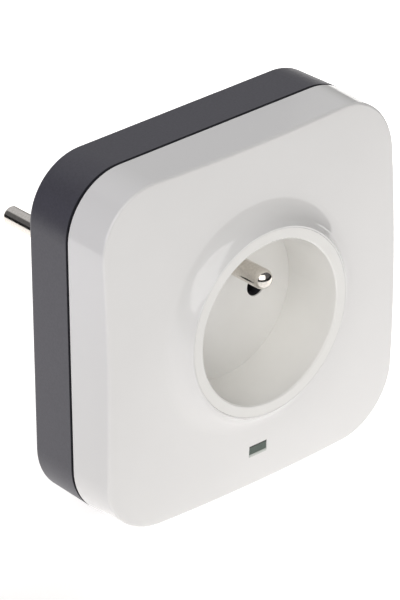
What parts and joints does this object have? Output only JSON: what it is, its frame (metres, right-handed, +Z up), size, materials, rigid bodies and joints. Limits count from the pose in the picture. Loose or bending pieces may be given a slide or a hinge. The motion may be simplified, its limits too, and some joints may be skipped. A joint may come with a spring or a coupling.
{
  "type": "surge protector socket",
  "caption": "Square plug-in surge protector: white crowned cover with a collared round earthed socket well and indicator window, dark rear shell with a plug boss and round pins.",
  "frame": {"origin": "middle of the plug's face, on the plug's axis", "axes": "+Y points from the socket through the plug into the wall, +Z is up, +X is to the right of someone facing the socket"},
  "size_m": [0.0856, 0.0792, 0.0856],
  "materials": {
    "white_shell": "satin moulded",
    "white_insert": "satin moulded",
    "dark_shell": "fine spark-eroded texture",
    "dark_plug": "fine matt",
    "nickel": "nickel plate, turned",
    "contact_brass": "rolled strip",
    "lens": "smoked translucent",
    "carrier_plastic": "glass-filled",
    "shutter_plastic": "smooth",
    "spring_steel": "drawn wire",
    "board": "solder mask",
    "varistor_epoxy": "dipped epoxy",
    "thermal_fuse_body": "resin",
    "tube_ceramic": "glazed ceramic",
    "fuse_ceramic": "ceramic",
    "capacitor_box": "moulded box",
    "resistor_body": "lacquered",
    "diode_body": "moulded",
    "lamp_lens": "diffused resin",
    "line_insulation": "brown insulation",
    "neutral_insulation": "blue insulation",
    "earth_insulation": "green and yellow insulation",
    "screw_steel": "zinc plate"
  },
  "bodies": {
    "body": {"front_cover": "white_shell", "socket_well": "white_insert", "front_earth_pin": "nickel", "indicator_lens": "lens", "shutter_guide": "carrier_plastic", "rear_housing": "dark_shell", "plug_body": "dark_plug", "line_pin": "nickel", "neutral_pin": "nickel", "earth_receptacle": "contact_brass", "earth_link": "contact_brass", "line_busbar": "contact_brass", "neutral_busbar": "contact_brass", "line_contact": "contact_brass", "neutral_contact": "contact_brass", "contact_carrier": "carrier_plastic", "carrier_cap": "carrier_plastic", "shutter_spring": "spring_steel", "circuit_board": "board", "line_neutral_varistor": "varistor_epoxy", "line_earth_varistor": "varistor_epoxy", "neutral_earth_varistor": "varistor_epoxy", "thermal_fuses": "thermal_fuse_body", "gas_discharge_tube": "tube_ceramic", "line_fuse": "fuse_ceramic", "suppressor_capacitor": "capacitor_box", "dropper_resistors": "resistor_body", "lamp_diode": "diode_body", "indicator_lamp": "lamp_lens", "line_lead": "line_insulation", "neutral_lead": "neutral_insulation", "earth_lead": "earth_insulation", "housing_screws": "screw_steel", "module_screws": "screw_steel", "board_screws": "screw_steel", "cap_screws": "screw_steel"},
    "shutter": {"shutter": "shutter_plastic"}
  },
  "joints": [
    {"name": "shutter_slide", "type": "slide", "parent": "body", "child": "shutter", "axis": [0, 0, -1], "range_m": [0, 0.0061], "stiffness_N_per_m": 180, "springref_m": -0.004, "deforming": ["shutter_spring"]}
  ]
}
